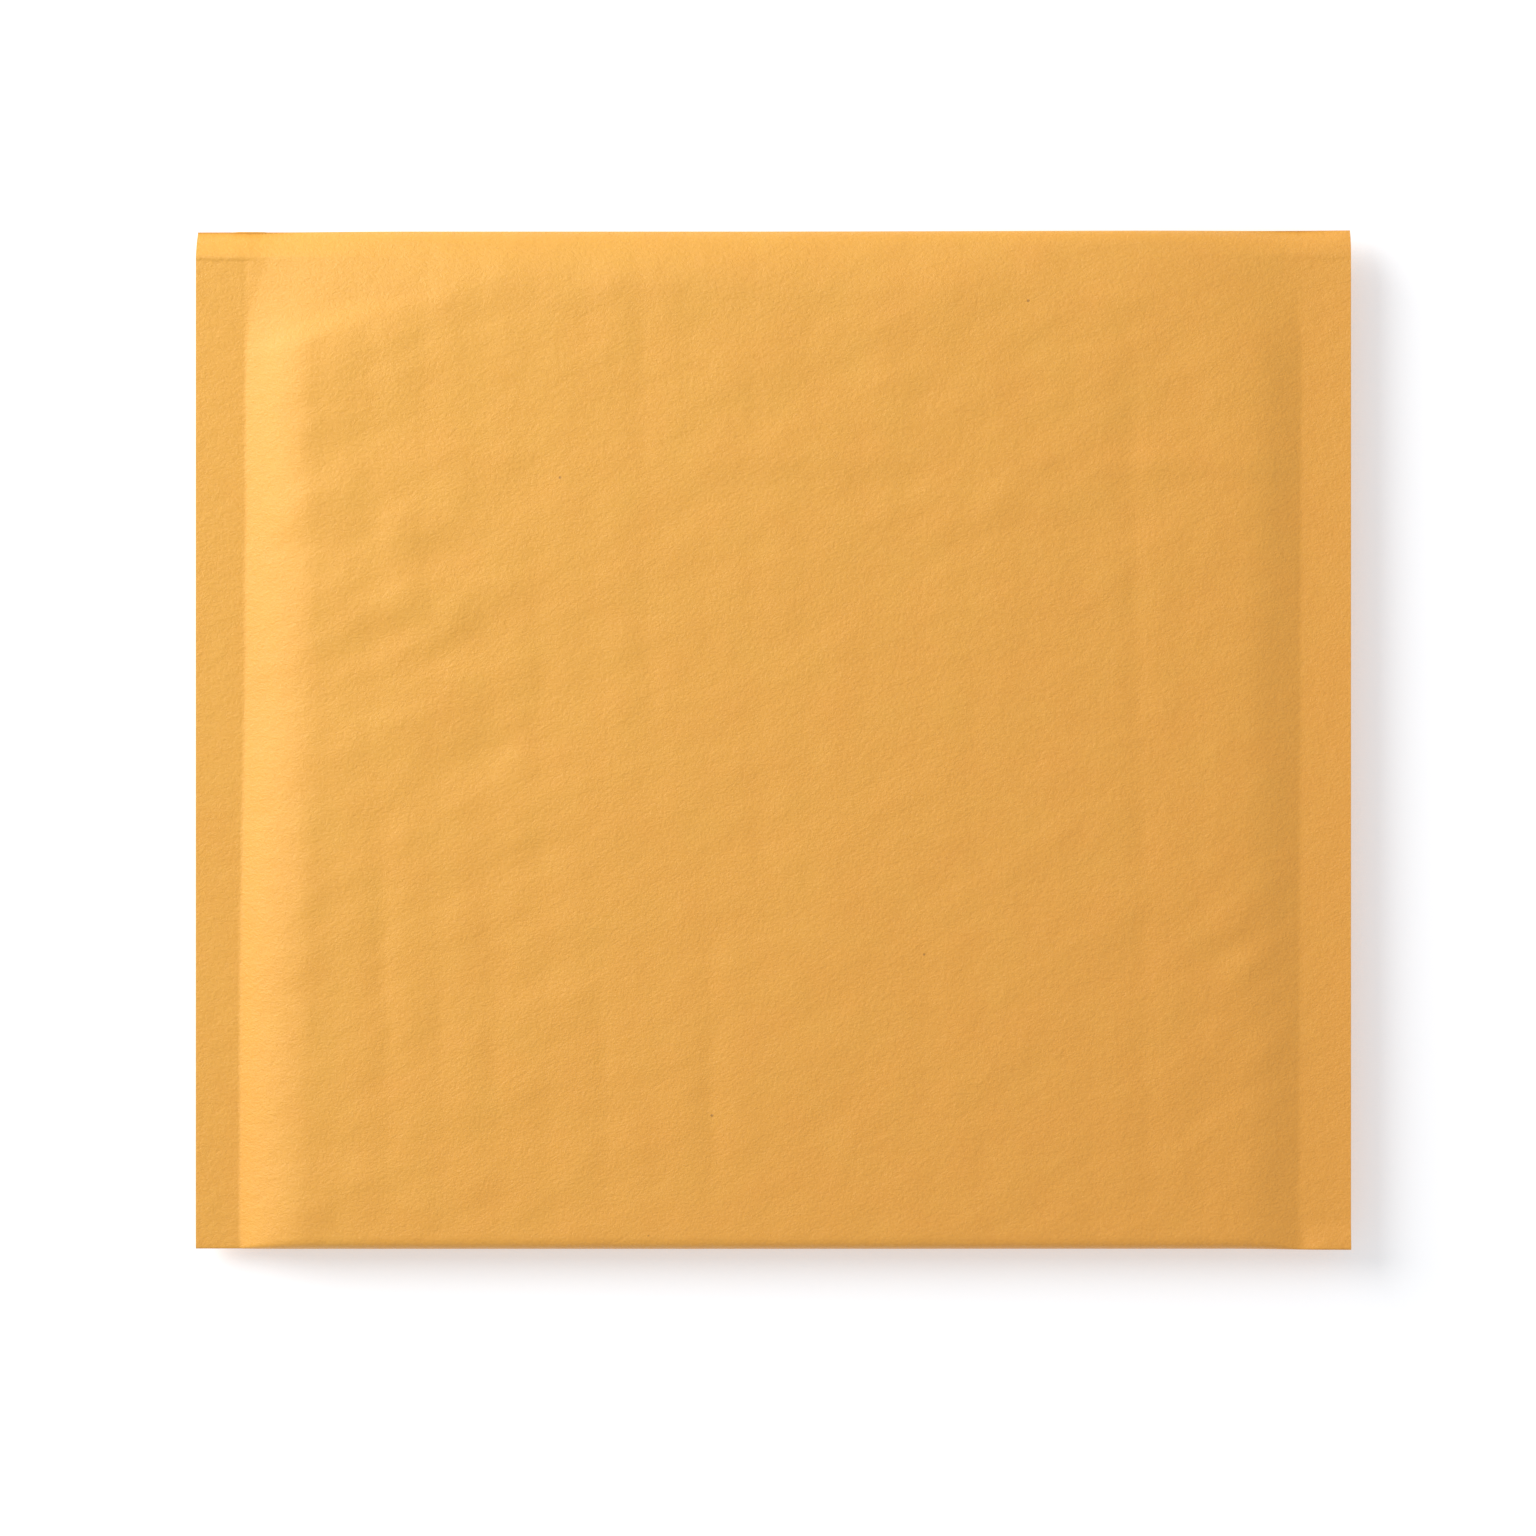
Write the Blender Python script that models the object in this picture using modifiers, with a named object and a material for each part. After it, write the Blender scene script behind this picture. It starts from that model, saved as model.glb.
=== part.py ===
"""Padded mailing envelope, empty and unsealed, lying address side up with its flap folded under.

One kraft sheet makes the flap, the address panel and the under panel. It is folded at the flap
crease and at the bottom, and both sides are pressed into flat seams. Bubble film lines the pocket,
and the flap carries a band of adhesive under a peel-off release strip.
Metres, +Z up. X runs across the envelope, +Y towards the flap crease, and Z = 0 is the table.
"""

import math

import bmesh
import bpy
from mathutils import Matrix, Vector

# Outline
WIDTH = 0.200
LENGTH = 0.1765
FLAP_DEPTH = 0.050
MOUTH_SETBACK = 0.0046
SEAM_WIDTH = 0.0084

# Thickness of each layer, and the air left between layers that touch
PAPER = 0.00015
FILM = 0.00010
ADHESIVE = 0.00010
RELEASE_PAPER = 0.00008
CLEARANCE = 0.00006

# How the padding fills the paper
TOP_BULGE = 0.0038
RIGHT_SLUMP = 0.0004
UNDER_BULGE = 0.0034
SEAM_ROLL = 0.0125
LEFT_ROLL = 0.0130
RIGHT_ROLL = 0.0104
MOUTH_ROLL = 0.0115
MOUTH_SHARE = 0.75
CROWN_LENGTH = 0.060
CORNER_REACH = 0.022
CORNER_SHIFT = 0.005
CORNER_SPREAD = 12
LIFT_REACH = 0.012
LIFT_SPREAD = 0.080
CREASE_DIP = 0.00015
LEFT_DIP = 0.0023
RIGHT_DIP = 0.0014
DIP_REACH = 0.030
FOLD_REACH = 0.0022
RIGHT_SEAM_LIFT = 0.0022
LEFT_EDGE_CURL = 0.0004
MOUTH_STEP = 0.0012
PUCKER_DEPTH = 0.00016
PUCKER_LENGTH = 0.064

# Bubble lining
BUBBLE_PITCH = 0.01083
BUBBLE_SHOULDER = 0.0020
BUBBLE_MARGIN = 0.0030
CROWN_GAP = 0.00045
BUBBLE_ROOM = 0.0009
POCKET_GAP = 0.0006
LINER_SETBACK = 0.0010
LINER_FOLD_GAP = 0.0004

# Strips on the flap, measured from its free edge
ADHESIVE_WIDTH = 0.018
ADHESIVE_INSET = 0.0065
RELEASE_WIDTH = 0.027
RELEASE_INSET = 0.0020

# Fineness of the mesh
FIELD_ROWS = 16
FLAP_ROWS = 8
CORNER_ROWS = 4
ROLL_STEPS = 5
CREASE_STEPS = 6
FOLD_STEPS = 10

HALF_WIDTH = WIDTH / 2
CREASE_Y = LENGTH / 2
FOLD_Y = -LENGTH / 2
MOUTH_Y = CREASE_Y - MOUTH_SETBACK
FLAP_EDGE_Y = CREASE_Y - FLAP_DEPTH
SEAM_EDGE = HALF_WIDTH - SEAM_WIDTH
FIELD_EDGE = SEAM_EDGE - SEAM_ROLL
BUBBLE_COLUMN = BUBBLE_PITCH * math.sqrt(3) / 2

# Distances out from the middle plane of the pressed seams
FILM_INSIDE = CLEARANCE / 2
FILM_OUTSIDE = FILM_INSIDE + FILM
SEAM_HALF = FILM_OUTSIDE + CLEARANCE + PAPER
FLAP_STACK = PAPER + ADHESIVE + RELEASE_PAPER + 3 * CLEARANCE
CREASE_HALF = SEAM_HALF + FLAP_STACK
SEAM_Z = SEAM_HALF + UNDER_BULGE + FLAP_STACK


def clamp(value):
    return min(max(value, 0.0), 1.0)


def ease_out(share):
    """Rises from 0 to 1, steepest at the start and level at the end."""
    return 1 - (1 - clamp(share)) ** 2


def ease_both(share):
    share = clamp(share)
    return share * share * (3 - 2 * share)


def near_crease(y, reach):
    """1 at the flap crease, falling to 0 at the reach below it."""
    return (1 - clamp((CREASE_Y - y) / reach)) ** 2


def swell(y):
    """How far the padding has filled out, first quickly below the crease, then in a long
    crown."""
    below = CREASE_Y - y
    start = MOUTH_SHARE * ease_out(below / MOUTH_ROLL)
    return start + (1 - MOUTH_SHARE) * ease_out(below / CROWN_LENGTH)


def rolled(share, straight):
    """Profile of a roll that climbs straight for a share of its width and then rounds over."""
    rounded = max(share - straight, 0) ** 2 / (2 * (1 - straight))
    return (share - rounded) / ((1 + straight) / 2)


def across(x, y):
    """0 on the pressed side seams, 1 where the padding holds the address panel level. The
    rolls spread and fade towards the crease, which rounds the padding's upper corners."""
    corner = near_crease(y, CORNER_REACH)
    width = (LEFT_ROLL if x < 0 else RIGHT_ROLL) * max(swell(y), 0.04)
    inside = SEAM_EDGE - abs(x) - CORNER_SHIFT * corner
    return rolled(clamp(inside / (width * (1 + CORNER_SPREAD * corner))), 0.4)


def under_across(x):
    """The same for the under panel, whose rolls run evenly up to the crease."""
    return rolled(clamp((SEAM_EDGE - abs(x)) / SEAM_ROLL), 0.5)


def lift(x, y):
    """How far the whole right seam has curled up, which takes from the roll above it. Towards
    the crease the lift spreads into the panel."""
    reach = LIFT_REACH + LIFT_SPREAD * near_crease(y, 0.030)
    return RIGHT_SEAM_LIFT * ease_both((x - SEAM_EDGE + RIGHT_ROLL + reach) / reach)


def seam_level(x, y):
    """Height of the pressed middle plane. The left seam tilts up a little to its edge."""
    left_tilt = LEFT_EDGE_CURL * clamp((-x - SEAM_EDGE) / SEAM_WIDTH)
    return SEAM_Z + lift(x, y) + left_tilt


def from_crease(y):
    return ease_out((CREASE_Y - y) / MOUTH_ROLL)


def pucker(x, y):
    """Shallow valleys where the paper sinks between bubble columns, coming and going along each."""
    valley = (1 - math.cos(2 * math.pi * x / BUBBLE_COLUMN)) / 2
    patch = (1 + math.sin(2 * math.pi * (y + 1.7 * x) / PUCKER_LENGTH)) / 2
    from_fold = ease_both((y - FOLD_Y - FOLD_REACH) / SEAM_ROLL)
    from_roll = ease_both((FIELD_EDGE - abs(x)) / BUBBLE_COLUMN)
    return PUCKER_DEPTH * valley * patch * from_fold * from_roll * from_crease(y)


def crease_dip(x, y):
    """How far the paper dips down to the flap crease, most by the side seams."""
    by_seam = LEFT_DIP if x < 0 else RIGHT_DIP
    deepest = CREASE_DIP + by_seam * ease_both(1 - (SEAM_EDGE - abs(x)) / DIP_REACH)
    return deepest * (1 - clamp((CREASE_Y - y) / MOUTH_SETBACK)) ** 1.4


def top_height(x, y):
    """Outside of the address panel, above the seam level. It stands open above the mouth and
    steps down to the pressed seams just past the mouth's edge."""
    loop = FLAP_STACK * ease_both((y - MOUTH_Y + MOUTH_STEP) / MOUTH_STEP)
    bulge = TOP_BULGE - RIGHT_SLUMP * ease_both((x + 0.020) / 0.095)
    padding = (bulge - lift(x, y) - loop) * across(x, y) * swell(y)
    return SEAM_HALF + loop + padding - pucker(x, y) - crease_dip(x, y)


def under_depth(x, y):
    """Outside of the under panel, below the seam level. Past the flap it comes down to the
    table."""
    past_flap = ease_both((FLAP_EDGE_Y - 0.002 - y) / SEAM_ROLL)
    fallen = (UNDER_BULGE + lift(x, y) + FLAP_STACK * past_flap) * under_across(x)
    return SEAM_HALF + fallen * from_crease(y)


def flap_depth(x, y):
    """Outside of the flap, below the seam level. It clears the under panel and the strips."""
    swollen = (UNDER_BULGE + lift(x, y)) * under_across(x) * from_crease(y)
    return CREASE_HALF + swollen + 0.7 * crease_dip(x, y)


def split(value, spans):
    """Which of the spans, laid end to end, holds the value, and how far along it, from 0 to 1."""
    for number, span in enumerate(spans):
        if value <= span or number == len(spans) - 1:
            return number, clamp(value / span)
        value -= span


# Lengths of the kraft sheet along its folding direction: flap, crease, address panel,
# bottom fold and under panel
PAPER_SPANS = (
    FLAP_DEPTH - CREASE_HALF,
    math.pi * CREASE_HALF,
    LENGTH - CREASE_HALF - FOLD_REACH,
    math.pi * FOLD_REACH,
    LENGTH - FOLD_REACH - MOUTH_SETBACK,
)
# The film's: upper layer, bottom fold and lower layer
FILM_TOP_Y = MOUTH_Y - LINER_SETBACK
FILM_FOLD_Y = FOLD_Y + SEAM_HALF + LINER_FOLD_GAP
FILM_SPANS = (
    FILM_TOP_Y - FILM_FOLD_Y,
    math.pi * FILM_OUTSIDE,
    FILM_TOP_Y - FILM_FOLD_Y,
)


def paper_place(x, along):
    """Where a point of the flat kraft sheet's outer face lies once the envelope is made up."""
    zone, share = split(along, PAPER_SPANS)
    reach = SEAM_HALF + (FOLD_REACH - SEAM_HALF) * across(x, FOLD_Y)
    crease_centre = CREASE_Y - CREASE_HALF
    fold_centre = FOLD_Y + reach
    turn = math.pi * (share - 0.5)
    if zone == 0:
        y = FLAP_EDGE_Y + share * (crease_centre - FLAP_EDGE_Y)
        return Vector((x, y, seam_level(x, y) - flap_depth(x, y)))
    if zone == 1:
        y = crease_centre + CREASE_HALF * math.cos(turn)
        above, below = top_height(x, crease_centre), flap_depth(x, crease_centre)
        height = (above - below + (above + below) * math.sin(turn)) / 2
        return Vector((x, y, seam_level(x, crease_centre) + height))
    if zone == 2:
        y = crease_centre + share * (fold_centre - crease_centre)
        return Vector((x, y, seam_level(x, y) + top_height(x, y)))
    if zone == 3:
        y = fold_centre - reach * math.cos(turn)
        above, below = top_height(x, fold_centre), under_depth(x, fold_centre)
        height = (below if turn > 0 else above) * math.sin(-turn)
        return Vector((x, y, seam_level(x, fold_centre) + height))
    y = fold_centre + share * (MOUTH_Y - fold_centre)
    return Vector((x, y, seam_level(x, y) - under_depth(x, y)))


def film_heights(x, along):
    """Where a point of the flat bubble film lies along the pocket, how far it stands off the
    middle plane, and how much room there is above it, up to the paper."""
    zone, share = split(along, FILM_SPANS)
    lower = zone == 2
    y = FILM_TOP_Y + (1 - share if lower else share) * (FILM_FOLD_Y - FILM_TOP_Y)
    opened = across(x, y) * swell(y) * ease_out((y - FILM_FOLD_Y) / SEAM_ROLL)
    inner = FILM_INSIDE + (POCKET_GAP - CLEARANCE) / 2 * opened
    paper = (under_depth(x, y) if lower else top_height(x, y)) - PAPER
    return y, inner, paper - inner - FILM


def film_place(x, along, level):
    """Where a point of the flat bubble film lies: level 0 faces the pocket, 1 is the film's
    outer face and 2 is the crown of a bubble, just inside the paper."""
    zone, share = split(along, FILM_SPANS)
    if zone == 1:
        turn = math.pi * (0.5 - share)
        radius = FILM_INSIDE + FILM * min(level, 1)
        y = FILM_FOLD_Y - radius * math.cos(turn)
        return Vector((x, y, seam_level(x, FILM_FOLD_Y) + radius * math.sin(turn)))
    y, inner, room = film_heights(x, along)
    height = inner + FILM * min(level, 1) + max(level - 1, 0) * (room - CROWN_GAP)
    middle = seam_level(x, y)
    return Vector((x, y, middle - height if zone == 2 else middle + height))


def steps(start, end, count):
    return [start + (end - start) * n / count for n in range(count + 1)]


def running_totals(spans):
    totals = [0.0]
    for span in spans:
        totals.append(totals[-1] + span)
    return totals


def everything(mesh):
    return mesh.verts[:] + mesh.edges[:] + mesh.faces[:]


def cut_along(mesh, axis, places):
    """Scores a flat sheet into strips with straight cuts, one across each place on the axis."""
    for place in places:
        centre = Vector((0, 0, 0))
        centre[axis] = place
        normal = Vector((0, 0, 0))
        normal[axis] = 1
        bmesh.ops.bisect_plane(
            mesh, geom=everything(mesh), dist=1e-7, plane_co=centre, plane_no=normal
        )


def blank(width, start, end):
    """One flat rectangle, centred across X and running from start to end along Y."""
    mesh = bmesh.new()
    middle = Matrix.Translation((0, (start + end) / 2, 0))
    stretch = Matrix.Diagonal((width, end - start, 1, 1))
    bmesh.ops.create_grid(mesh, x_segments=1, y_segments=1, size=0.5, matrix=middle @ stretch)
    return mesh


def column_lines():
    """Cuts up the sheet: at the seams, down the rolls beside them and on the bubble columns."""
    roll = steps(FIELD_EDGE, SEAM_EDGE, ROLL_STEPS)
    half_columns = int(FIELD_EDGE / (BUBBLE_COLUMN / 2))
    field = [n * BUBBLE_COLUMN / 2 for n in range(-half_columns, half_columns + 1)]
    field = [x for x in field if FIELD_EDGE - abs(x) > BUBBLE_COLUMN / 4]
    return sorted([-x for x in roll] + field + roll)


def cover_object(name, mesh, material, collection):
    data = bpy.data.meshes.new(name)
    mesh.to_mesh(data)
    mesh.free()
    data.materials.append(material)
    data.shade_smooth()
    cover = bpy.data.objects.new(name, data)
    collection.objects.link(cover)
    return cover


def thicken(cover, thickness):
    """Gives an open sheet its thickness, on the side away from its normals."""
    solidify = cover.modifiers.new("Sheet thickness", "SOLIDIFY")
    solidify.thickness = thickness
    solidify.offset = -1
    solidify.use_even_offset = True


def kraft_envelope(collection):
    """The paper: one sheet from the flap's free edge round to the edge of the mouth."""
    flap, crease, panel, fold, under = PAPER_SPANS
    ends = running_totals(PAPER_SPANS)
    sheet = blank(WIDTH, 0, ends[-1])
    above_mouth = ends[2] + MOUTH_SETBACK - CREASE_HALF
    roll_end = ends[2] + MOUTH_ROLL
    under_mouth = ends[5] - (MOUTH_ROLL - MOUTH_SETBACK)
    rows = (
        steps(0, flap - MOUTH_ROLL, FLAP_ROWS)
        + steps(flap - MOUTH_ROLL, flap, ROLL_STEPS)
        + steps(ends[1], ends[2], CREASE_STEPS)
        + steps(above_mouth, above_mouth + MOUTH_STEP, 2)
        + steps(above_mouth + MOUTH_STEP, roll_end, ROLL_STEPS)
        + steps(roll_end, ends[2] + CORNER_REACH, CORNER_ROWS)
        + steps(ends[2] + CORNER_REACH, ends[3], FIELD_ROWS)
        + steps(ends[3], ends[4], FOLD_STEPS)
        + steps(ends[4], under_mouth, FIELD_ROWS)
        + steps(under_mouth, ends[5], ROLL_STEPS)
    )
    cut_along(sheet, 1, sorted(set(rows) - {0, ends[-1]}))
    cut_along(sheet, 0, column_lines())
    for vertex in sheet.verts:
        vertex.co = paper_place(vertex.co.x, vertex.co.y)
    bmesh.ops.reverse_faces(sheet, faces=sheet.faces)
    cover = cover_object("kraft_envelope", sheet, kraft_paper(), collection)
    thicken(cover, PAPER)


def honeycomb(length):
    """A flat sheet of six-sided cells, one for each bubble, big enough to be trimmed to size."""
    mesh = bmesh.new()
    radius = BUBBLE_PITCH / math.sqrt(3)
    columns = math.ceil(HALF_WIDTH / BUBBLE_COLUMN) + 1
    rows = math.ceil(length / BUBBLE_PITCH) + 1
    for column in range(-columns, columns + 1):
        shift = BUBBLE_PITCH / 2 * (column % 2)
        for row in range(-1, rows + 1):
            centre = Matrix.Translation((column * BUBBLE_COLUMN, row * BUBBLE_PITCH + shift, 0))
            turned = centre @ Matrix.Rotation(math.radians(30), 4, "Z")
            bmesh.ops.create_circle(
                mesh, cap_ends=True, segments=6, radius=radius, matrix=turned
            )
    bmesh.ops.remove_doubles(mesh, verts=mesh.verts, dist=radius * 0.01)
    return mesh


def trim(mesh, point, outwards):
    bmesh.ops.bisect_plane(
        mesh,
        geom=everything(mesh),
        dist=1e-7,
        plane_co=point,
        plane_no=outwards,
        clear_outer=True,
    )


def holds_bubble(face, length):
    """Whether a cell is whole, clear of the seams, the mouth's edges and the bottom fold, and
    under paper that stands high enough."""
    fold_start, fold_end = FILM_SPANS[0], FILM_SPANS[0] + FILM_SPANS[1]
    for corner in face.verts:
        x, along, _ = corner.co
        inside = (
            SEAM_EDGE - abs(x) > BUBBLE_MARGIN
            and LINER_SETBACK < along < length - LINER_SETBACK
            and not fold_start - FOLD_REACH < along < fold_end + FOLD_REACH
            and film_heights(x, along)[2] > BUBBLE_ROOM
        )
        if not inside:
            return False
    whole = 3 * math.sqrt(3) / 2 * (BUBBLE_PITCH / math.sqrt(3)) ** 2
    return face.calc_area() > 0.99 * whole


def bubble_liner(collection):
    """The film: flat towards the pocket, with its bubbles raised towards the paper, folded once."""
    ends = running_totals(FILM_SPANS)
    film = honeycomb(ends[-1])
    trim(film, (-HALF_WIDTH, 0, 0), (-1, 0, 0))
    trim(film, (HALF_WIDTH, 0, 0), (1, 0, 0))
    trim(film, (0, 0, 0), (0, -1, 0))
    trim(film, (0, ends[-1], 0), (0, 1, 0))
    cut_along(film, 0, (-SEAM_EDGE, SEAM_EDGE))
    cut_along(film, 1, steps(ends[1], ends[2], CREASE_STEPS))
    raised = bmesh.ops.extrude_face_region(film, geom=film.faces[:])["geom"]
    for vertex in raised:
        if isinstance(vertex, bmesh.types.BMVert):
            vertex.co.z = 1
    bmesh.ops.recalc_face_normals(film, faces=film.faces)
    outer = [face for face in film.faces if face.normal.z > 0.5]
    domes = [face for face in outer if holds_bubble(face, ends[-1])]
    bmesh.ops.inset_individual(
        film, faces=domes, thickness=BUBBLE_SHOULDER, depth=1, use_even_offset=True
    )
    for vertex in film.verts:
        vertex.co = film_place(*vertex.co)
    bmesh.ops.reverse_faces(film, faces=film.faces)
    liner = cover_object("bubble_liner", film, bubble_film(), collection)
    liner.data.set_sharp_from_angle(angle=math.radians(50))


def flap_strip(name, inset, width, stack, thickness, material, collection):
    """A band that lies on the flap's inner face, its full width, raised by what is under it."""
    start = FLAP_EDGE_Y + inset
    sheet = blank(WIDTH, start, start + width)
    cut_along(sheet, 0, column_lines())
    for vertex in sheet.verts:
        x, y, _ = vertex.co
        vertex.co.z = seam_level(x, y) - flap_depth(x, y) + stack
    bmesh.ops.reverse_faces(sheet, faces=sheet.faces)
    strip = cover_object(name, sheet, material, collection)
    thicken(strip, thickness)


def flap_strips(collection):
    under_adhesive = PAPER + CLEARANCE
    under_release = under_adhesive + ADHESIVE + CLEARANCE
    flap_strip(
        "flap_adhesive", ADHESIVE_INSET, ADHESIVE_WIDTH, under_adhesive, ADHESIVE,
        hot_melt_adhesive(), collection,
    )
    flap_strip(
        "release_strip", RELEASE_INSET, RELEASE_WIDTH, under_release, RELEASE_PAPER,
        release_paper(), collection,
    )


def finish(name, colour, roughness, **more):
    """A Principled material with a linear RGB colour."""
    material = bpy.data.materials.new(name)
    material.use_nodes = True
    shader = material.node_tree.nodes["Principled BSDF"]
    shader.inputs["Base Color"].default_value = (*colour, 1)
    shader.inputs["Roughness"].default_value = roughness
    shader.inputs["Metallic"].default_value = 0
    for socket, value in more.items():
        shader.inputs[socket.replace("_", " ")].default_value = value
    return material


def kraft_paper():
    return finish("Golden kraft paper", (0.80, 0.40, 0.085), 0.82)


def bubble_film():
    return finish("Polythene bubble film", (0.86, 0.89, 0.90), 0.22, Transmission_Weight=0.8)


def hot_melt_adhesive():
    return finish("Hot melt adhesive", (0.88, 0.83, 0.66), 0.30)


def release_paper():
    return finish("Siliconised release paper", (0.86, 0.86, 0.84), 0.35)


def main():
    for leftover in list(bpy.data.objects):
        bpy.data.objects.remove(leftover)
    collection = bpy.data.collections.new("Padded envelope")
    bpy.context.scene.collection.children.link(collection)
    kraft_envelope(collection)
    bubble_liner(collection)
    flap_strips(collection)


main()
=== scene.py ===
"""Finish of the padded envelope: its creased kraft sheet, bubble lining and flap strips.

It lies address side up on a white table, and is seen from straight above in soft light that
comes from the upper left.
"""

import math
from itertools import accumulate

import bmesh
import bpy
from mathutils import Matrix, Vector, noise


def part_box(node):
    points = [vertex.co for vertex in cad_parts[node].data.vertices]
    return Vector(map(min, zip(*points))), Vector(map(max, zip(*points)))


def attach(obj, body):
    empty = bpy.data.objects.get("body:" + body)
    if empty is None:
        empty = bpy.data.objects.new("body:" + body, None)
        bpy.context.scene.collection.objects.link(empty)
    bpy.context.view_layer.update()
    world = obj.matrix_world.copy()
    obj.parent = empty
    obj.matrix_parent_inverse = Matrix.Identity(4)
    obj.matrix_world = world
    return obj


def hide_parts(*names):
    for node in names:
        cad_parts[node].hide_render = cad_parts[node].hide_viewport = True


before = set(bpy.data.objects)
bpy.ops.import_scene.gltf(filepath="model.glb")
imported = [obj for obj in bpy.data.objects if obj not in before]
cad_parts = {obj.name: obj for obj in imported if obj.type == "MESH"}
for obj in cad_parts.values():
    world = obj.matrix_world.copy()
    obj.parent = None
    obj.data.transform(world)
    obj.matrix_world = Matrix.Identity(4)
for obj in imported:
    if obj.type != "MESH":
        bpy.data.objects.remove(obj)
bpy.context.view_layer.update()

MM = 0.001

# Sizes shared with the solids
LOW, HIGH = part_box("kraft_envelope")
HALF_WIDTH = HIGH[0]
CREASE_Y = HIGH[1]
FOLD_Y = LOW[1]
FLAP_DEPTH = 50 * MM
MOUTH_SETBACK = 4.6 * MM
SEAM_WIDTH = 8.4 * MM
PAPER = 0.15 * MM
SEAM_HALF = 0.34 * MM
FLAP_STACK = 0.51 * MM
TOP_BULGE = 3.8 * MM
UNDER_BULGE = 3.4 * MM
MOUTH_ROLL = 11.5 * MM
FOLD_REACH = 2.2 * MM
RIGHT_SEAM_LIFT = 2.2 * MM
CREASE_HALF = SEAM_HALF + FLAP_STACK
SEAM_Z = SEAM_HALF + UNDER_BULGE + FLAP_STACK

LENGTH = CREASE_Y - FOLD_Y
MOUTH_Y = CREASE_Y - MOUTH_SETBACK
FLAP_EDGE_Y = CREASE_Y - FLAP_DEPTH
SEAM_EDGE = HALF_WIDTH - SEAM_WIDTH
LEFT_ROLL = 13 * MM
RIGHT_ROLL = 10.4 * MM
UNDER_ROLL = 12.5 * MM
FIELD_EDGE = SEAM_EDGE - LEFT_ROLL

# Bubbles under the paper stand in columns, a little askew to the envelope
BUBBLE_PITCH = 10.83 * MM
BUBBLE_COLUMN = 9.375 * MM
COLUMN_START = -66.7 * MM
COLUMN_LEVEL = -62.4 * MM
COLUMN_SKEW = -0.0214

# How far apart two seeds' layers of noise lie
SEED_STRIDE = 7.31


def clamp(value):
    """The value, held between 0 and 1."""
    return min(max(value, 0.0), 1.0)


def ease_out(share):
    """Rises from 0 to 1, steepest at the start and level at the end."""
    return 1 - (1 - clamp(share)) ** 2


def ease_both(share):
    """Rises from 0 to 1, level at both ends."""
    share = clamp(share)
    return share * share * (3 - 2 * share)


def bell(distance, reach):
    """1 at the middle, falling smoothly to 0 at the reach."""
    return ease_both(1 - abs(distance) / reach)


def rough(x, y, size, seed):
    """Smooth seeded noise from -1 to 1, with lumps about as wide as size."""
    return noise.noise(Vector((x / size, y / size, seed * SEED_STRIDE)))


def streaks(x, y, slant, long, short, seed):
    """Noise drawn out into streaks that climb to the right at the slant, in degrees."""
    turn = math.radians(slant)
    along = x * math.cos(turn) + y * math.sin(turn)
    over = y * math.cos(turn) - x * math.sin(turn)
    return noise.noise(Vector((along / long, over / short, seed * SEED_STRIDE)))


def near_crease(y, reach):
    """1 at the flap crease, falling to 0 at the reach below it."""
    return (1 - clamp((CREASE_Y - y) / reach)) ** 2


# The left seam is wider at the top and narrows downwards, in a slight wave
LEFT_TOP_WIDENING = 0.2 * MM
LEFT_NARROWING = 1.0 * MM
NARROWING_TOP = 22 * MM
NARROWING_LENGTH = 70 * MM
EDGE_WAVE = 0.12 * MM
EDGE_WAVE_LENGTH = 14 * MM
# The right one widens evenly downwards
RIGHT_TOP_WIDENING = 0.1 * MM
RIGHT_WIDENING = 0.6 * MM


def seam_inside(x, y):
    """How far a point lies inside the nearer side seam."""
    if x < 0:
        narrowing = LEFT_NARROWING * ease_both((NARROWING_TOP - y) / NARROWING_LENGTH)
        wave = EDGE_WAVE * rough(0, y, EDGE_WAVE_LENGTH, seed=8)
        return SEAM_EDGE + (narrowing - LEFT_TOP_WIDENING) + wave + x
    return SEAM_EDGE - RIGHT_TOP_WIDENING - RIGHT_WIDENING * (CREASE_Y - y) / LENGTH - x


# The padding fills out quickly below the crease, then slowly in a long crown
CROWN_SHARE = 0.25
CROWN_LENGTH = 60 * MM


def swell(y):
    """How far the padding has filled out, from 0 at the crease to 1."""
    below = CREASE_Y - y
    quick = (1 - CROWN_SHARE) * ease_out(below / MOUTH_ROLL)
    return quick + CROWN_SHARE * ease_out(below / CROWN_LENGTH)


def soft_max(one, other):
    """The greater of two shares, rounded where they cross, the less so the nearer to 1."""
    greater = max(one, other)
    blend = 0.3 * (1.001 - greater)
    return greater + max(blend - abs(one - other), 0) ** 2 / (4 * blend)


def rolled(share, straight_end):
    """A roll's profile: a straight climb up to this share of its width, then a round shoulder."""
    share = clamp(share)
    rounded = max(share - straight_end, 0) ** 2 / (2 * (1 - straight_end))
    return (share - rounded) / (0.5 + straight_end / 2)


# Further down, the left roll is narrower and rounder
LEFT_ROLL_TAPER = 0.8 * MM
ROUNDER_TOP = 15 * MM
TAPER_LENGTH = 50 * MM
# By the crease the rolls start further in and spread out wide
CORNER_REACH = 22 * MM
CORNER_SHIFT = 5 * MM
CORNER_SPREAD = 12
LEAST_SWELL = 0.04
# Under that spread lies a low climb, which gives way to the full roll below the crease
LOW_CLIMB = 48 * MM
LEAST_ROLL = 0.15
FULL_ROLL_START = 7 * MM
FULL_ROLL_LENGTH = 21 * MM


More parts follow.
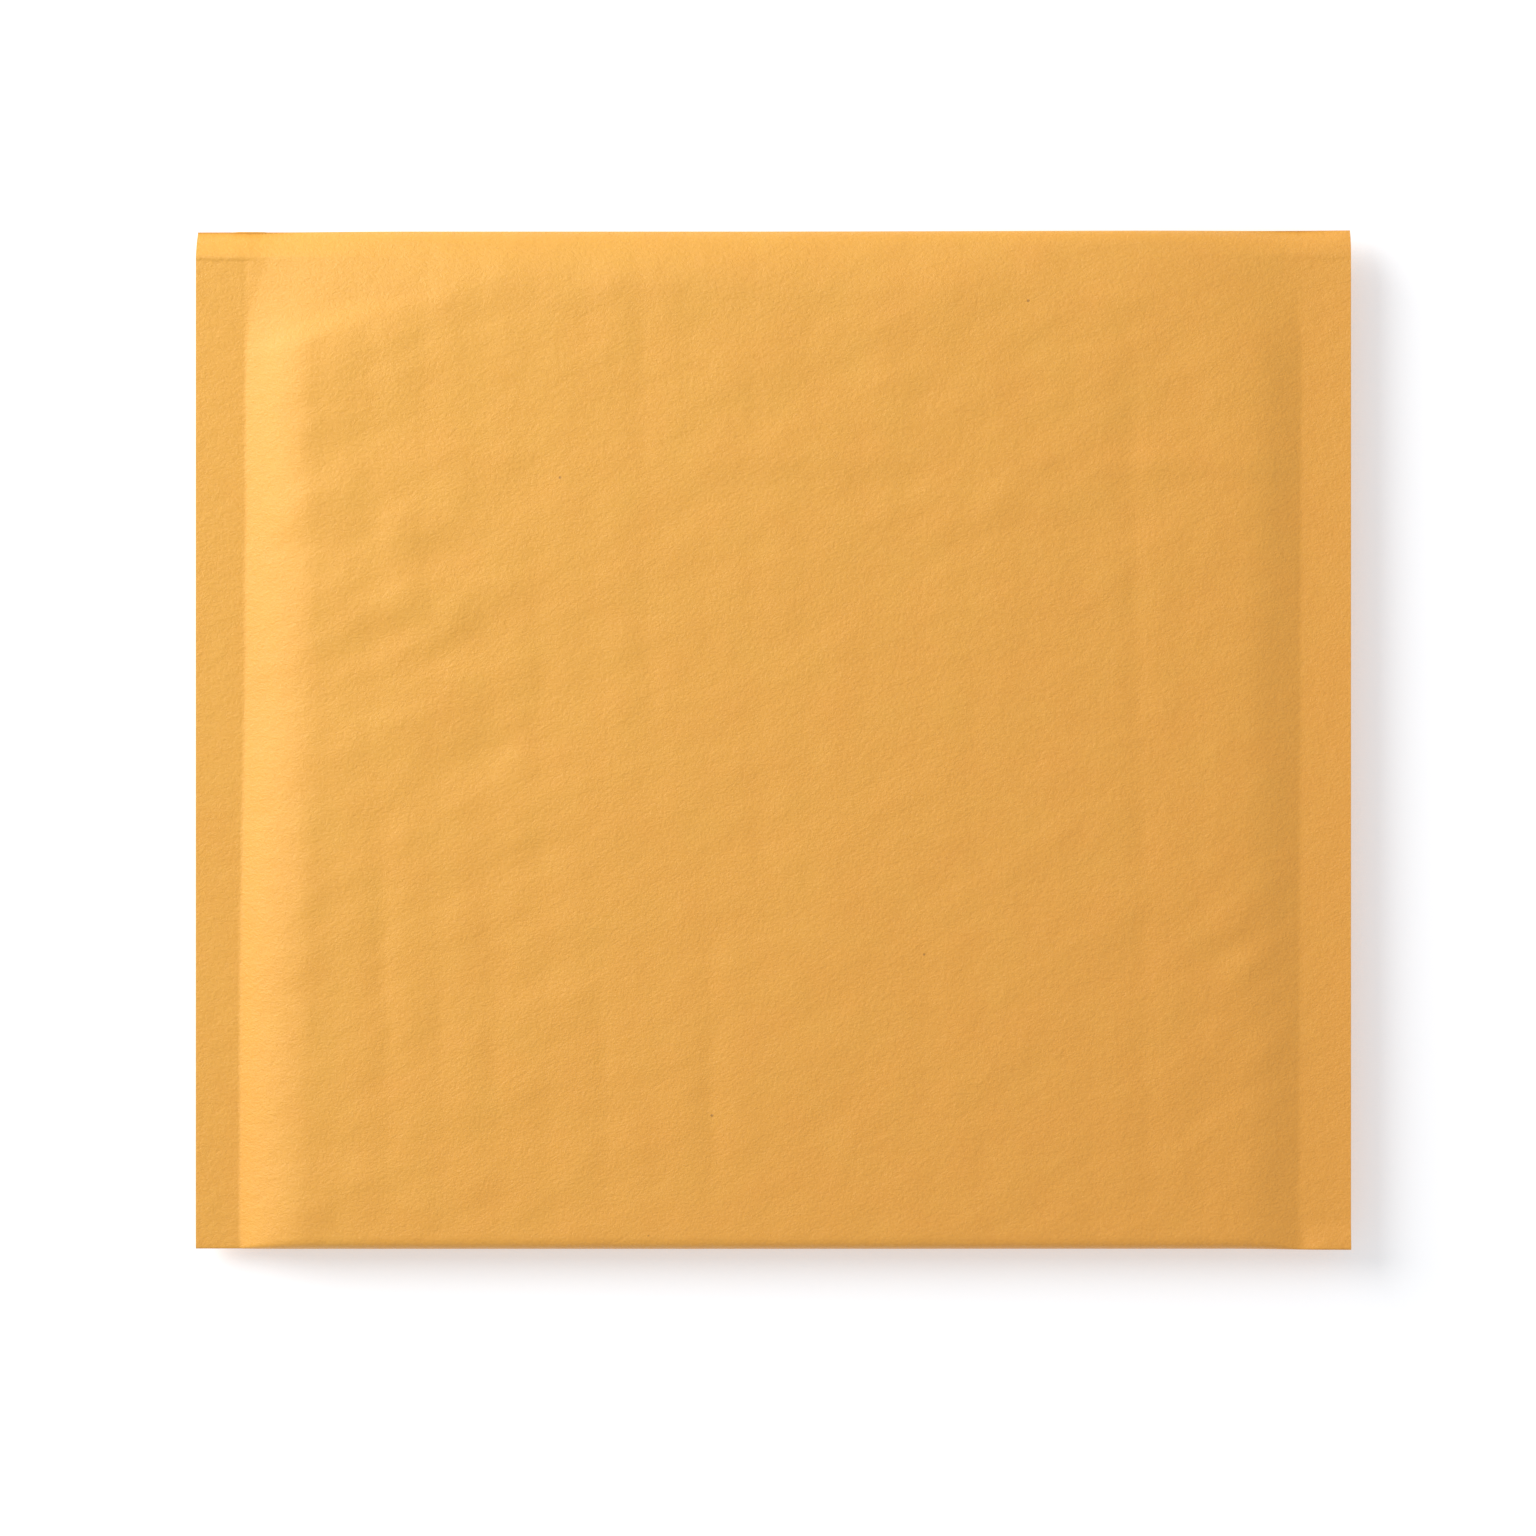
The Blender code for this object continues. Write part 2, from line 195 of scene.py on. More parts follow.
def across(x, y):
    """0 on the pressed side seams, 1 where the padding holds the paper level."""
    if x < 0:
        width = LEFT_ROLL - LEFT_ROLL_TAPER * ease_both(-y / TAPER_LENGTH)
        straight_end = 0.4 - 0.3 * ease_both((ROUNDER_TOP - y) / TAPER_LENGTH)
    else:
        width, straight_end = RIGHT_ROLL, 0.45
    corner = near_crease(y, CORNER_REACH)
    inside = seam_inside(x, y) - CORNER_SHIFT * corner
    spread = width * max(swell(y), LEAST_SWELL) * (1 + CORNER_SPREAD * corner)
    steep = rolled(inside / spread, straight_end)
    below = (CREASE_Y - y - FULL_ROLL_START) / FULL_ROLL_LENGTH
    full = LEAST_ROLL + (1 - LEAST_ROLL) * ease_both(below)
    low = rolled(inside / width, straight_end) * full
    low += ease_out(inside / LOW_CLIMB) * (1 - full)
    return soft_max(steep, low)


def under_across(x):
    """The same for the under panel, whose rolls run evenly up to the crease."""
    return rolled((SEAM_EDGE - abs(x)) / UNDER_ROLL, straight_end=0.5)


# The right seam's curl starts inside its roll, much further in by the crease
LIFT_START = 12 * MM
LIFT_START_AT_CREASE = 80 * MM
LIFT_CREASE_REACH = 30 * MM


def lift(x, y):
    """How far the pressed middle plane has curled up. Only the right seam has."""
    reach = LIFT_START + LIFT_START_AT_CREASE * near_crease(y, LIFT_CREASE_REACH)
    return RIGHT_SEAM_LIFT * ease_both((x - SEAM_EDGE + RIGHT_ROLL + reach) / reach)


# The lower right corner of the seam has bent up along a slanting crease
CORNER_BEND = 4.2 * MM
CORNER_SLANT = 0.10
CORNER_RISE = 0.45 * MM
CORNER_GROOVE = 0.07 * MM
CORNER_BLEND = 3 * MM


def corner_curl(x, y):
    """How far the lower right corner stands up, with a groove along its crease."""
    if x < SEAM_EDGE - 1 * MM:
        return 0.0
    below = (FOLD_Y + CORNER_BEND + CORNER_SLANT * (HALF_WIDTH - x) - y) / CORNER_BEND
    outwards = ease_both((x - SEAM_EDGE) / CORNER_BLEND)
    groove = CORNER_GROOVE * bell(below, reach=0.3)
    return CORNER_RISE * max(below, 0) * outwards - groove * outwards


def seam_level(x, y):
    """Height of the pressed seams' middle plane."""
    return SEAM_Z + lift(x, y)


# On both seams the upper paper curls up at the outer edge, away from the lining
LEFT_EDGE_CURL = 0.4 * MM
RIGHT_EDGE_SLOPE = 0.25 * MM
RIGHT_EDGE_ROUND = 0.15 * MM


def edge_curl(x, y):
    """How far the upper paper stands off a seam, from 0 at its inner edge."""
    outwards = clamp((abs(x) - SEAM_EDGE) / SEAM_WIDTH)
    if x < 0:
        return LEFT_EDGE_CURL * outwards
    return RIGHT_EDGE_SLOPE * outwards + RIGHT_EDGE_ROUND * outwards ** 2 + corner_curl(x, y)


def from_crease(y):
    """0 at the flap crease, 1 from a roll's width below it."""
    return ease_out((CREASE_Y - y) / MOUTH_ROLL)


# Deep creases between bubble columns: column number, middle, half-length and depth in mm
DEEP_CREASES = (
    (0, -40, 44, 0.20),
    (1, -46, 18, 0.10),
    (1, 66, 28, 0.12),
    (2, -52, 26, 0.15),
    (2, 70, 14, 0.09),
    (3, 16, 16, 0.12),
    (4, -60, 26, 0.20),
    (5, 71, 20, 0.20),
    (5, 52, 12, 0.13),
    (5, 14, 18, 0.11),
    (6, -57, 32, 0.22),
    (7, 58, 12, 0.12),
    (8, -8, 26, 0.09),
    (9, 6, 16, 0.08),
    (11, -30, 18, 0.08),
    (14, -6, 88, 0.22),
    (14, 52, 30, 0.10),
)


def crease_depth(number, y):
    """Most lines barely show: a crease comes and goes along its column, bubble by bubble."""
    depth = 0.10 * rough(number * 3.7, y / (26 * MM), size=1, seed=2) - 0.01
    for column, middle, half_length, deepest in DEEP_CREASES:
        if column == number:
            depth += deepest * bell(y - middle * MM, half_length * MM)
    broken = 0.75 + 0.6 * rough(number * 5.1, y / (5 * MM), size=1, seed=9)
    return max(depth, 0.0) * broken * MM


VALLEY_WANDER = 0.9 * MM
VALLEY_WANDER_SIZE = 11 * MM
VALLEY_SHARPNESS = 1.4


def column_place(x, y):
    """Which bubble column a point is on, counted from the left, as a number with a fraction."""
    start = COLUMN_START + COLUMN_SKEW * (y - COLUMN_LEVEL)
    return (x - start) / BUBBLE_COLUMN


def column_valleys(x, y):
    """The paper sinks between neighbouring bubble columns in sharp valleys."""
    wander = VALLEY_WANDER * rough(x, y, VALLEY_WANDER_SIZE, seed=4)
    number = column_place(x - wander, y)
    sunk = 0.0
    for column in (math.floor(number), math.floor(number) + 1):
        gap = abs(number - column)
        sunk += crease_depth(column, y) * max(0, 1 - VALLEY_SHARPNESS * gap) ** 3
    return sunk


BUMP_HEIGHT = 0.20 * MM
BUMP_RADIUS = 5.2 * MM


def quilting(x, y, seed):
    """Low bumps over single bubbles, staggered from column to column. Each stands up as far as
    the film happens to press it, and those to the left press most."""
    number = column_place(x, y)
    column = math.floor(number)
    rank = y / BUBBLE_PITCH + 0.5 * (column % 2)
    row = math.floor(rank)
    off_x = (number - column - 0.5) * BUBBLE_COLUMN
    off_y = (rank - row - 0.5) * BUBBLE_PITCH
    away = math.hypot(off_x, off_y) / BUMP_RADIUS
    press = 0.5 + 1.1 * rough(column * 0.83, row * 0.83, size=1, seed=seed)
    zone = 0.45 + 0.55 * ease_both((10 * MM - x) / (60 * MM))
    return BUMP_HEIGHT * clamp(press) * zone * ease_both(1 - away)


# Slack folds: height in mm, slant in degrees, length and width in mm
GENTLE_FOLDS = ((0.42, 17, 24, 9), (0.19, 20, 11, 4.2))
STEEP_FOLDS = ((0.32, 35, 24, 9), (0.18, 38, 10, 4.4))
# Where the slack gathers: strength, then the middle in x and y and the reach in x and y, in mm
SLACK_SPOTS = (
    (1.3, -72, 26, 46, 58),
    (0.8, 35, 58, 70, 36),
    (0.8, 80, -50, 30, 45),
)


def folds(x, y, kinds, seed):
    """Sum of several kinds of slack folds, in mm."""
    return sum(
        height * streaks(x, y, slant, long * MM, short * MM, seed + number)
        for number, (height, slant, long, short) in enumerate(kinds)
    )


def ripples(x, y, seed):
    """Slack in the paper, in short soft folds. They climb gently to the right near the top
    and more steeply at the lower right."""
    steep = ease_both((x - y + 10 * MM) / (130 * MM))
    gentle_folds = folds(x, y, GENTLE_FOLDS, seed)
    steep_folds = folds(x, y, STEEP_FOLDS, seed + 2)
    slack = 0.42 + max(
        strength * bell(x - middle_x * MM, reach_x * MM) * bell(y - middle_y * MM, reach_y * MM)
        for strength, middle_x, middle_y, reach_x, reach_y in SLACK_SPOTS
    )
    patchy = 0.8 + 0.7 * rough(x, y, 24 * MM, seed + 4)
    return (gentle_folds * (1 - steep) + steep_folds * steep) * slack * patchy * MM


# Wrinkles on the rolls: height, width and length in mm, and their layer of noise
ROLL_WRINKLES = ((0.06, 8, 3.2, 53), (0.10, 14, 7, 57))


def roll_wrinkles(x, y):
    """Short creases across the rolls, where the seam gathers the paper."""
    near_seam = bell(seam_inside(x, y) - 5 * MM, 9 * MM)
    level = y + 0.12 * x
    gathered = sum(
        height * noise.noise(Vector((x / (wide * MM), level / (long * MM), layer)))
        for height, wide, long, layer in ROLL_WRINKLES
    )
    return near_seam * gathered * MM


def cockle(x, y, seed):
    """Small waviness of damp-dried paper."""
    return 0.030 * MM * rough(x, y, 6 * MM, seed) + 0.012 * MM * rough(x, y, 3.2 * MM, seed + 1)


RIDGE_Y = 48.5 * MM
RIDGE_WANDER = 1.5 * MM
RIDGE_HEIGHT = 0.17 * MM
RIDGE_REACH = 4.2 * MM


def cross_ridge(x, y):
    """One soft ridge across the panel, where the flap's edge pushes from beneath. It shows most
    on the right half."""
    level = RIDGE_Y + RIDGE_WANDER * rough(x, 0, 18 * MM, seed=5)
    right_half = ease_both((x + 8 * MM) / (18 * MM))
    strength = 0.45 + 0.55 * right_half + 0.5 * rough(x, 0, 9 * MM, seed=6)
    return RIDGE_HEIGHT * max(strength, 0) * bell(y - level, RIDGE_REACH)


def address_relief(x, y):
    """All the fine relief of the address panel, which dies out on the seams and folds."""
    padded = across(x, y) * from_crease(y) * ease_both((y - FOLD_Y) / (4 * MM))
    field = ease_both((FIELD_EDGE + 6 * MM - abs(x)) / (6 * MM))
    lumps = quilting(x, y, seed=3) - column_valleys(x, y)
    slack = ripples(x, y, seed=11) + cross_ridge(x, y) + roll_wrinkles(x, y)
    return padded * (field * lumps + slack) + cockle(x, y, seed=20) * (0.3 + 0.7 * padded)


def under_relief(x, y):
    """The same for the under panel, where it is fainter."""
    padded = under_across(x) * from_crease(y) * ease_both((y - FOLD_Y) / (6 * MM))
    slack = 0.10 * MM * streaks(x, y, slant=-20, long=30 * MM, short=9 * MM, seed=31)
    lumps = 0.5 * column_valleys(-x, y) - quilting(-x, y, seed=8)
    return padded * (slack + lumps) + cockle(x, y, seed=40) * 0.5


DIP_REACH = 30 * MM
LAST_DIP = 0.6 * MM
LAST_DIP_REACH = 2.6 * MM


def crease_drop(x, y):
    """The paper dips down to the flap crease, most by the side seams."""
    inside = seam_inside(x, y)
    on_seam = clamp(-inside / SEAM_WIDTH)
    if x < 0:
        by_seam, sharpness = 2.3 + 0.5 * on_seam, 1.25
    else:
        by_seam, sharpness = 1.8 - 0.9 * on_seam, 1.7
    deepest = 0.15 + by_seam * ease_both(1 - inside / DIP_REACH)
    dip = deepest * MM * (1 - clamp((CREASE_Y - y) / MOUTH_SETBACK)) ** sharpness
    return dip + LAST_DIP * (1 - clamp((CREASE_Y - y) / LAST_DIP_REACH)) ** 2


LEFT_MOUTH_STEP = 0.13 * MM
RIGHT_MOUTH_STEP = 0.05 * MM
SEAM_GROOVE = 0.06 * MM


def mouth_step(x, y):
    """On the seams the mouth's edge shows as a small step down from the crease's strip, and
    the left seam's inner edge as a short groove below it."""
    inside = seam_inside(x, y)
    height = LEFT_MOUTH_STEP if x < 0 else RIGHT_MOUTH_STEP
    on_seam = ease_both(1 - inside / (2 * MM))
    step = height * on_seam * ease_both((y - MOUTH_Y + 0.7 * MM) / (0.5 * MM))
    if x > 0:
        return step
    return step - SEAM_GROOVE * bell(inside, 0.8 * MM) * bell(y - MOUTH_Y + 3 * MM, 6 * MM)


def bulge(x):
    """Height of the padded address panel above its seams, a little less to the right."""
    return TOP_BULGE - 0.4 * MM * ease_both((x + 20 * MM) / (95 * MM))


def top_height(x, y):
    """Outside of the address panel, above the seam level."""
    padding = (bulge(x) - lift(x, y)) * across(x, y) * swell(y)
    dip = mouth_step(x, y) - crease_drop(x, y)
    return SEAM_HALF + padding + edge_curl(x, y) + dip + address_relief(x, y)


def under_depth(x, y):
    """Outside of the under panel, below the seam level. Past the flap it comes down to the
    table."""
    past_flap = ease_both((FLAP_EDGE_Y - 2 * MM - y) / LEFT_ROLL)
    fallen = (UNDER_BULGE + lift(x, y) + FLAP_STACK * past_flap) * under_across(x)
    return SEAM_HALF + fallen * from_crease(y) - abs(under_relief(x, y)) * past_flap


def flap_depth(x, y):
    """Outside of the flap, below the seam level. It clears the under panel and the strips."""
    swollen = (UNDER_BULGE + lift(x, y)) * under_across(x) * from_crease(y)
    return CREASE_HALF + swollen + 0.7 * crease_drop(x, y)


# The kraft sheet's zones along its folding direction, and the length of each
FLAP, CREASE, ADDRESS, FOLD, UNDER = range(5)
PAPER_SPANS = (
    FLAP_DEPTH - CREASE_HALF,
    math.pi * CREASE_HALF,
    LENGTH - CREASE_HALF - FOLD_REACH,
    math.pi * FOLD_REACH,
    LENGTH - FOLD_REACH - MOUTH_SETBACK,
)
SLOPE_STEP = 0.1 * MM


def split(value, spans):
    """Which of the spans, laid end to end, holds the value, and how far along it, from 0 to 1."""
    for number, span in enumerate(spans):
        if value <= span or number == len(spans) - 1:
            return number, clamp(value / span)
        value -= span


def round_turn(turn, squareness):
    """Point of a rounded fold at this angle: how far out and how far up, both up to 1. It is a
    circle's at squareness 2, and boxier above."""
    out = abs(math.cos(turn)) ** (2 / squareness)
    up = math.copysign(abs(math.sin(turn)) ** (2 / squareness), turn)
    return out, up


def paper_place(x, along):
    """Where a point of the flat kraft sheet's outer face lies once the envelope is made up."""
    zone, share = split(along, PAPER_SPANS)
    reach = SEAM_HALF + (FOLD_REACH - SEAM_HALF) * across(x, FOLD_Y)
    crease_centre = CREASE_Y - CREASE_HALF
    fold_centre = FOLD_Y + reach
    turn = math.pi * (share - 0.5)
    if zone == FLAP:
        y = FLAP_EDGE_Y + share * (crease_centre - FLAP_EDGE_Y)
        return Vector((x, y, seam_level(x, y) - flap_depth(x, y)))
    if zone == CREASE:
        out, up = round_turn(turn, squareness=2)
        above, below = top_height(x, crease_centre), flap_depth(x, crease_centre)
        height = (above - below) / 2 + up * (above + below) / 2
        # The round sets off at the slope that the panel arrives with
        slope = (above - top_height(x, crease_centre - SLOPE_STEP)) / SLOPE_STEP
        height += slope * CREASE_HALF * out * max(up, 0)
        level = seam_level(x, crease_centre)
        return Vector((x, crease_centre + CREASE_HALF * out, level + height))
    if zone == ADDRESS:
        y = crease_centre + share * (fold_centre - crease_centre)
        return Vector((x, y, seam_level(x, y) + top_height(x, y)))
    if zone == FOLD:
        out, up = round_turn(-turn, squareness=3)
        above, below = top_height(x, fold_centre), under_depth(x, fold_centre)
        height = (above - below) / 2 + up * (above + below) / 2
        level = seam_level(x, fold_centre)
        return Vector((x, fold_centre - reach * out, level + height))
    y = fold_centre + share * (MOUTH_Y - fold_centre)
    return Vector((x, y, seam_level(x, y) - under_depth(x, y)))


# A last narrow row or column keeps the sheet's edge crisp
CRISP_EDGE = 0.05 * MM
# Lines of the mesh that agree to this many digits count as one
LINE_DIGITS = 7


def steps(start, end, count):
    """Evenly spaced values from the start to the end, with both of them."""
    return [start + (end - start) * n / count for n in range(count + 1)]


def graded(start, bands):
    """Values from the start on, with so many even steps to each band's end."""
    values = []
    for end, count in bands:
        values += steps(start, end, count)
        start = end
    return values


def sheet_columns():
    """Lines up the sheet: few on the flat seams, closest where the rolls leave them."""
    right = graded(FIELD_EDGE, (
        (SEAM_EDGE - 1 * MM, 12),
        (SEAM_EDGE + 1.2 * MM, 6),
        (HALF_WIDTH - CRISP_EDGE, 4),
        (HALF_WIDTH, 1),
    ))
    field = steps(-FIELD_EDGE, FIELD_EDGE, 156)
    return sorted({round(x, LINE_DIGITS) for x in field + right + [-x for x in right]})


def sheet_rows():
    """Lines across the sheet, closest on the address panel and round the folds."""
    flap_end, crease_end, address_end, fold_end, sheet_end = accumulate(PAPER_SPANS)
    rows = graded(0, (
        (CRISP_EDGE, 1),
        (flap_end - MOUTH_ROLL, 7),
        (flap_end, 5),
        (crease_end, 8),
        (crease_end + 3 * MM, 5),
        (crease_end + 5.4 * MM, 12),
        (crease_end + 12 * MM, 6),
        (address_end - 4 * MM, 122),
        (address_end, 6),
        (fold_end, 14),
        (sheet_end - MOUTH_ROLL, 26),
        (sheet_end - CRISP_EDGE, 5),
        (sheet_end, 1),
    ))
    return sorted({round(row, LINE_DIGITS) for row in rows})


def placed(name, mesh, material):
    """An object in the scene, made from a finished mesh that is used up."""
    data = bpy.data.meshes.new(name)
    mesh.to_mesh(data)
    mesh.free()
    data.materials.append(material)
    made = bpy.data.objects.new(name, data)
    bpy.context.scene.collection.objects.link(made)
    return made


def kraft_sheet(material):
    """The whole paper as one sheet, folded from its flat blank and given its thickness."""
    columns, rows = sheet_columns(), sheet_rows()
    mesh = bmesh.new()
    bmesh.ops.create_grid(
        mesh, x_segments=len(columns) - 1, y_segments=len(rows) - 1, size=0.5
    )
    for vertex in mesh.verts:
        column = round((vertex.co.x + 0.5) * (len(columns) - 1))
        row = round((vertex.co.y + 0.5) * (len(rows) - 1))
        vertex.co = paper_place(columns[column], rows[row])
    bmesh.ops.reverse_faces(mesh, faces=mesh.faces)
    sheet = placed("kraft_sheet", mesh, material)
    sheet.data.shade_smooth()
    solidify = sheet.modifiers.new("Paper thickness", "SOLIDIFY")
    solidify.thickness = PAPER
    solidify.offset = -1
    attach(sheet, "root")
    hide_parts("kraft_envelope")


def from_hex(code):
    """A linear colour from an sRGB hex value."""
    shares = [int(code[n:n + 2], 16) / 255 for n in (1, 3, 5)]
    linear = [s / 12.92 if s <= 0.04045 else ((s + 0.055) / 1.055) ** 2.4 for s in shares]
    return (*linear, 1)


def add(tree, kind, settings=None, **inputs):
    """Adds a node. An input is named, or "at" and its number, and is given a plain value or
    another node's output to link."""
    made = tree.nodes.new(kind)
    for name, value in (settings or {}).items():
        setattr(made, name, value)
    for name, value in inputs.items():
        key = int(name[2:]) if name.startswith("at") else name.replace("_", " ")
        if isinstance(value, bpy.types.NodeSocket):
            tree.links.new(value, made.inputs[key])
        else:
            made.inputs[key].default_value = value
    return made


def blank_material(name):
    """A new material, its node tree and its shader."""
    material = bpy.data.materials.new(name)
    material.use_nodes = True
    tree = material.node_tree
    return material, tree, tree.nodes["Principled BSDF"]


def cloudy(tree, place, size, detail, roughness):
    """Noise from 0 to 1 whose largest features are this many metres wide."""
    return add(
        tree, "ShaderNodeTexNoise",
        Vector=place, Scale=1 / size, Detail=detail, Roughness=roughness,
    ).outputs["Fac"]


def mixed(tree, share, one, other):
    """A colour between two others."""
    return add(
        tree, "ShaderNodeMix", {"data_type": "RGBA"}, at0=share, at6=one, at7=other
    ).outputs[2]


def ranged(tree, value, start, end, low, high):
    """The value's place between start and end, carried over to low and high."""
    return add(
        tree, "ShaderNodeMapRange", Value=value, at1=start, at2=end, at3=low, at4=high
    ).outputs[0]


def bumped(tree, height, distance, strength=1.0, **below):
    """A surface normal for this height map, whose value 1 stands up by the distance."""
    return add(
        tree, "ShaderNodeBump", Strength=strength, Distance=distance, Height=height, **below
    ).outputs["Normal"]


def golden_kraft():
    """Machine-glazed kraft paper: a dull gloss over fibres pressed flat in every direction.

    The eye gets a warm ochre that clouds slightly, with painted light that makes it a shade
    lighter and yellower towards the upper left, where the window is; a fine felt of lighter and
    darker fibres, soft crumpling and a few specks of bark.
    """
    material, tree, shader = blank_material("Golden kraft paper")
    place = add(tree, "ShaderNodeTexCoord").outputs["Object"]
    clouds = cloudy(tree, place, 9 * MM, detail=3, roughness=0.55)
    # Painted light: the base colour is mixed a shade lighter and yellower towards the upper left,
    # where the window stands, on top of the random clouds
    toward_light = add(
        tree, "ShaderNodeVectorMath", {"operation": "DOT_PRODUCT"}, at0=place, at1=(-4.2, 3.0, 0)
    ).outputs["Value"]
    clouds_and_lit_side = add(
        tree, "ShaderNodeMath", {"operation": "ADD", "use_clamp": True},
        at0=toward_light, at1=clouds,
    ).outputs[0]
    base = mixed(tree, clouds_and_lit_side, from_hex("#E99C34"), from_hex("#EAA93D"))
    # Fibres about 0.6 mm long lean to one slant
    slanted = add(
        tree, "ShaderNodeMapping",
        Vector=place, Rotation=(0, 0, math.radians(-38)), Scale=(1, 1.3, 1),
    ).outputs["Vector"]
    felt = cloudy(tree, slanted, 0.6 * MM, detail=4, roughness=0.75)
    felted = mixed(tree, felt, from_hex("#C9832C"), from_hex("#FFC85C"))
    colour = mixed(tree, 0.35, base, felted)
    # Specks of bark, up to 0.6 mm across, in cells 16 mm wide. Few of them reach the surface
    speck = add(
        tree, "ShaderNodeTexVoronoi", {"distance": "EUCLIDEAN"},
        Vector=place, Scale=1 / (16 * MM), Randomness=1.0,
    ).outputs["Distance"]
    spotted = ranged(tree, speck, 0.012, 0.020, 0.55, 0.0)
    colour = mixed(tree, spotted, colour, from_hex("#7A4E1E"))
    tree.links.new(colour, shader.inputs["Base Color"])
    shader.inputs["Roughness"].default_value = 0.41
    shader.inputs["Specular IOR Level"].default_value = 0.55
    shader.inputs["IOR"].default_value = 1.5
    # Crumpling with lumps 2 to 4 mm wide, finer than the mesh can hold
    crumpled = cloudy(tree, slanted, 4.2 * MM, detail=2.5, roughness=0.6)
    soft = bumped(tree, crumpled, 0.16 * MM)
    tree.links.new(bumped(tree, felt, 0.16 * MM, Normal=soft), shader.inputs["Normal"])
    return material


def bubble_film():
    """Blown polythene film, cast over rollers: clear, with a soft gloss and a milky haze.

    The eye gets pale rims and dull highlights on each bubble.
    """
    material, tree, shader = blank_material("Clear polythene bubble film")
    place = add(tree, "ShaderNodeTexCoord").outputs["Object"]
    haze = cloudy(tree, place, 7 * MM, detail=3, roughness=0.6)
    milky = mixed(tree, haze, from_hex("#E4EAEB"), from_hex("#F6F8F8"))
    dulled = ranged(tree, haze, 0.3, 0.7, 0.16, 0.30)
    # Flow lines of the film, about 1.5 mm apart
    wrinkled = cloudy(tree, place, 1.5 * MM, detail=2, roughness=0.5)
    relief = bumped(tree, wrinkled, 0.04 * MM, strength=0.6)
    tree.links.new(milky, shader.inputs["Base Color"])
    tree.links.new(dulled, shader.inputs["Roughness"])
    tree.links.new(relief, shader.inputs["Normal"])
    shader.inputs["IOR"].default_value = 1.51
    shader.inputs["Transmission Weight"].default_value = 0.6
    return material


def hot_melt():
    """Hot-melt adhesive, coated from a slot and left tacky.

    The eye gets a wet, honey-clear band with faint coating lines across the flap.
    """
    material, tree, shader = blank_material("Coated hot-melt adhesive")
    place = add(tree, "ShaderNodeTexCoord").outputs["Object"]
    drawn = add(tree, "ShaderNodeMapping", Vector=place, Scale=(0.08, 1, 1)).outputs["Vector"]
    lines = cloudy(tree, drawn, 0.9 * MM, detail=2, roughness=0.5)
    honey = mixed(tree, lines, from_hex("#D9C489"), from_hex("#E8D9A8"))
    relief = bumped(tree, lines, 0.05 * MM, strength=0.7)
    tree.links.new(honey, shader.inputs["Base Color"])
    tree.links.new(relief, shader.inputs["Normal"])
    shader.inputs["Roughness"].default_value = 0.18
    shader.inputs["IOR"].default_value = 1.48
    return material


def release_paper():
    """Glassine, pressed smooth and coated with silicone.

    The eye gets a cool white with faint cloudy fibres and a waxy gloss.
    """
    material, tree, shader = blank_material("Siliconised glassine paper")
    place = add(tree, "ShaderNodeTexCoord").outputs["Object"]
    clouds = cloudy(tree, place, 3.5 * MM, detail=4, roughness=0.6)
    white = mixed(tree, clouds, from_hex("#E9EAE4"), from_hex("#F7F7F3"))
    waxy = ranged(tree, clouds, 0.3, 0.7, 0.24, 0.34)
    relief = bumped(tree, clouds, 0.03 * MM, strength=0.5)
    tree.links.new(white, shader.inputs["Base Color"])
    tree.links.new(waxy, shader.inputs["Roughness"])
    tree.links.new(relief, shader.inputs["Normal"])
    shader.inputs["IOR"].default_value = 1.5
    return material


def dress(node, material):
    """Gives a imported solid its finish, in every material slot it has."""
    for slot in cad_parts[node].material_slots:
        slot.material = material


TABLE_HALF = 3.0
TABLE_GAP = 0.02 * MM


